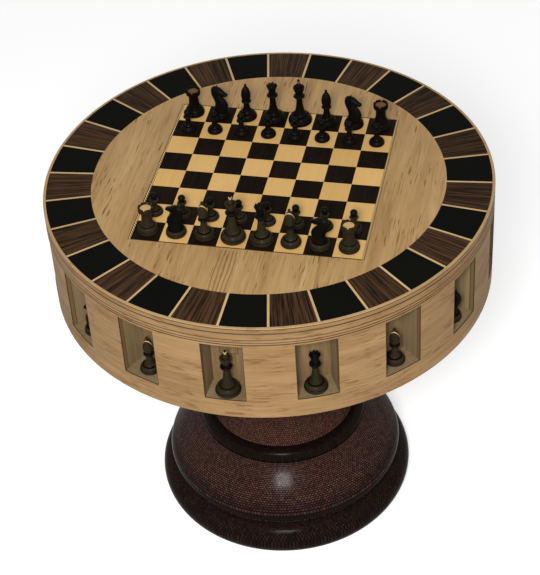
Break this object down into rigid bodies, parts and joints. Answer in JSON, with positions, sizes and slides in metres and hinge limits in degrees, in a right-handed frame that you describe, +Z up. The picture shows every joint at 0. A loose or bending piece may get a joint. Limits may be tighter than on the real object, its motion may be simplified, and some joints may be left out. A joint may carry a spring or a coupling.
{
  "type": "chess table",
  "caption": "Round pedestal chess table with inlaid board and ring, niches round the drum for spare men, and both sets of men set out.",
  "frame": {"origin": "on the floor under the table's axis", "axes": "+Z up along the pedestal's axis, -Y the side of the near set, +X to its player's right; board edges along X and Y"},
  "size_m": [0.7999, 0.8, 0.8225],
  "materials": {
    "oak": "satin oak, fine streaks",
    "niche_back_oak": "matt oak, vertical grain",
    "core_board": "plain sanded board",
    "stringing": "rope pattern stringing",
    "dark_square": "satin, near black brown",
    "light_square": "satin, golden tan",
    "black_inlay": "satin black",
    "brown_inlay": "satin dark brown, fine radial streaks",
    "pale_inlay": "satin, pale",
    "pedestal_black": "gloss lacquer, near black",
    "pedestal_speckled": "gloss lacquer, reddish speckle on near black",
    "zinc_steel": "zinc plated",
    "olive_black_men": "satin, dark olive brown",
    "black_men": "satin black"
  },
  "bodies": {
    "table": {"top_core": "core_board", "centre_panel": "oak", "stringing": "stringing", "squares_dark": "dark_square", "squares_light": "light_square", "ring_black": "black_inlay", "ring_brown": "brown_inlay", "ring_dividers": "pale_inlay", "lower_bead": "oak", "upper_bead": "oak", "wide_band": "oak", "edge_band": "oak", "drum_lower_ring": "oak", "drum_upper_ring": "oak", "niche_posts": "oak", "niche_back_band": "niche_back_oak", "drum_floor": "core_board", "pedestal_foot": "pedestal_black", "pedestal_dome": "pedestal_speckled", "pedestal_bead": "pedestal_black", "pedestal_stem": "pedestal_speckled", "tie_rod": "zinc_steel", "tie_fasteners": "zinc_steel", "niche_rooks": "olive_black_men", "niche_knights": "olive_black_men", "niche_bishops": "olive_black_men", "niche_kings": "olive_black_men", "niche_queens": "olive_black_men"},
    "near_rook_1": {"near_rook_1": "olive_black_men"},
    "near_knight_2": {"near_knight_2": "olive_black_men"},
    "near_bishop_3": {"near_bishop_3": "olive_black_men"},
    "near_king_4": {"near_king_4": "olive_black_men"},
    "near_queen_5": {"near_queen_5": "olive_black_men"},
    "near_bishop_6": {"near_bishop_6": "olive_black_men"},
    "near_knight_7": {"near_knight_7": "olive_black_men"},
    "near_rook_8": {"near_rook_8": "olive_black_men"},
    "near_pawn_1": {"near_pawn_1": "olive_black_men"},
    "near_pawn_2": {"near_pawn_2": "olive_black_men"},
    "near_pawn_3": {"near_pawn_3": "olive_black_men"},
    "near_pawn_4": {"near_pawn_4": "olive_black_men"},
    "near_pawn_5": {"near_pawn_5": "olive_black_men"},
    "near_pawn_6": {"near_pawn_6": "olive_black_men"},
    "near_pawn_7": {"near_pawn_7": "olive_black_men"},
    "near_pawn_8": {"near_pawn_8": "olive_black_men"},
    "far_rook_1": {"far_rook_1": "black_men"},
    "far_knight_2": {"far_knight_2": "black_men"},
    "far_bishop_3": {"far_bishop_3": "black_men"},
    "far_queen_4": {"far_queen_4": "black_men"},
    "far_king_5": {"far_king_5": "black_men"},
    "far_bishop_6": {"far_bishop_6": "black_men"},
    "far_knight_7": {"far_knight_7": "black_men"},
    "far_rook_8": {"far_rook_8": "black_men"},
    "far_pawn_1": {"far_pawn_1": "black_men"},
    "far_pawn_2": {"far_pawn_2": "black_men"},
    "far_pawn_3": {"far_pawn_3": "black_men"},
    "far_pawn_4": {"far_pawn_4": "black_men"},
    "far_pawn_5": {"far_pawn_5": "black_men"},
    "far_pawn_6": {"far_pawn_6": "black_men"},
    "far_pawn_7": {"far_pawn_7": "black_men"},
    "far_pawn_8": {"far_pawn_8": "black_men"}
  },
  "joints": [
    {"name": "near_rook_1_lift", "type": "slide", "parent": "table", "child": "near_rook_1", "axis": [0, 0, 1], "range_m": [0, 0.12]},
    {"name": "near_knight_2_lift", "type": "slide", "parent": "table", "child": "near_knight_2", "axis": [0, 0, 1], "range_m": [0, 0.12]},
    {"name": "near_bishop_3_lift", "type": "slide", "parent": "table", "child": "near_bishop_3", "axis": [0, 0, 1], "range_m": [0, 0.12]},
    {"name": "near_king_4_lift", "type": "slide", "parent": "table", "child": "near_king_4", "axis": [0, 0, 1], "range_m": [0, 0.12]},
    {"name": "near_queen_5_lift", "type": "slide", "parent": "table", "child": "near_queen_5", "axis": [0, 0, 1], "range_m": [0, 0.12]},
    {"name": "near_bishop_6_lift", "type": "slide", "parent": "table", "child": "near_bishop_6", "axis": [0, 0, 1], "range_m": [0, 0.12]},
    {"name": "near_knight_7_lift", "type": "slide", "parent": "table", "child": "near_knight_7", "axis": [0, 0, 1], "range_m": [0, 0.12]},
    {"name": "near_rook_8_lift", "type": "slide", "parent": "table", "child": "near_rook_8", "axis": [0, 0, 1], "range_m": [0, 0.12]},
    {"name": "near_pawn_1_lift", "type": "slide", "parent": "table", "child": "near_pawn_1", "axis": [0, 0, 1], "range_m": [0, 0.12]},
    {"name": "near_pawn_2_lift", "type": "slide", "parent": "table", "child": "near_pawn_2", "axis": [0, 0, 1], "range_m": [0, 0.12]},
    {"name": "near_pawn_3_lift", "type": "slide", "parent": "table", "child": "near_pawn_3", "axis": [0, 0, 1], "range_m": [0, 0.12]},
    {"name": "near_pawn_4_lift", "type": "slide", "parent": "table", "child": "near_pawn_4", "axis": [0, 0, 1], "range_m": [0, 0.12]},
    {"name": "near_pawn_5_lift", "type": "slide", "parent": "table", "child": "near_pawn_5", "axis": [0, 0, 1], "range_m": [0, 0.12]},
    {"name": "near_pawn_6_lift", "type": "slide", "parent": "table", "child": "near_pawn_6", "axis": [0, 0, 1], "range_m": [0, 0.12]},
    {"name": "near_pawn_7_lift", "type": "slide", "parent": "table", "child": "near_pawn_7", "axis": [0, 0, 1], "range_m": [0, 0.12]},
    {"name": "near_pawn_8_lift", "type": "slide", "parent": "table", "child": "near_pawn_8", "axis": [0, 0, 1], "range_m": [0, 0.12]},
    {"name": "far_rook_1_lift", "type": "slide", "parent": "table", "child": "far_rook_1", "axis": [0, 0, 1], "range_m": [0, 0.12]},
    {"name": "far_knight_2_lift", "type": "slide", "parent": "table", "child": "far_knight_2", "axis": [0, 0, 1], "range_m": [0, 0.12]},
    {"name": "far_bishop_3_lift", "type": "slide", "parent": "table", "child": "far_bishop_3", "axis": [0, 0, 1], "range_m": [0, 0.12]},
    {"name": "far_queen_4_lift", "type": "slide", "parent": "table", "child": "far_queen_4", "axis": [0, 0, 1], "range_m": [0, 0.12]},
    {"name": "far_king_5_lift", "type": "slide", "parent": "table", "child": "far_king_5", "axis": [0, 0, 1], "range_m": [0, 0.12]},
    {"name": "far_bishop_6_lift", "type": "slide", "parent": "table", "child": "far_bishop_6", "axis": [0, 0, 1], "range_m": [0, 0.12]},
    {"name": "far_knight_7_lift", "type": "slide", "parent": "table", "child": "far_knight_7", "axis": [0, 0, 1], "range_m": [0, 0.12]},
    {"name": "far_rook_8_lift", "type": "slide", "parent": "table", "child": "far_rook_8", "axis": [0, 0, 1], "range_m": [0, 0.12]},
    {"name": "far_pawn_1_lift", "type": "slide", "parent": "table", "child": "far_pawn_1", "axis": [0, 0, 1], "range_m": [0, 0.12]},
    {"name": "far_pawn_2_lift", "type": "slide", "parent": "table", "child": "far_pawn_2", "axis": [0, 0, 1], "range_m": [0, 0.12]},
    {"name": "far_pawn_3_lift", "type": "slide", "parent": "table", "child": "far_pawn_3", "axis": [0, 0, 1], "range_m": [0, 0.12]},
    {"name": "far_pawn_4_lift", "type": "slide", "parent": "table", "child": "far_pawn_4", "axis": [0, 0, 1], "range_m": [0, 0.12]},
    {"name": "far_pawn_5_lift", "type": "slide", "parent": "table", "child": "far_pawn_5", "axis": [0, 0, 1], "range_m": [0, 0.12]},
    {"name": "far_pawn_6_lift", "type": "slide", "parent": "table", "child": "far_pawn_6", "axis": [0, 0, 1], "range_m": [0, 0.12]},
    {"name": "far_pawn_7_lift", "type": "slide", "parent": "table", "child": "far_pawn_7", "axis": [0, 0, 1], "range_m": [0, 0.12]},
    {"name": "far_pawn_8_lift", "type": "slide", "parent": "table", "child": "far_pawn_8", "axis": [0, 0, 1], "range_m": [0, 0.12]}
  ]
}
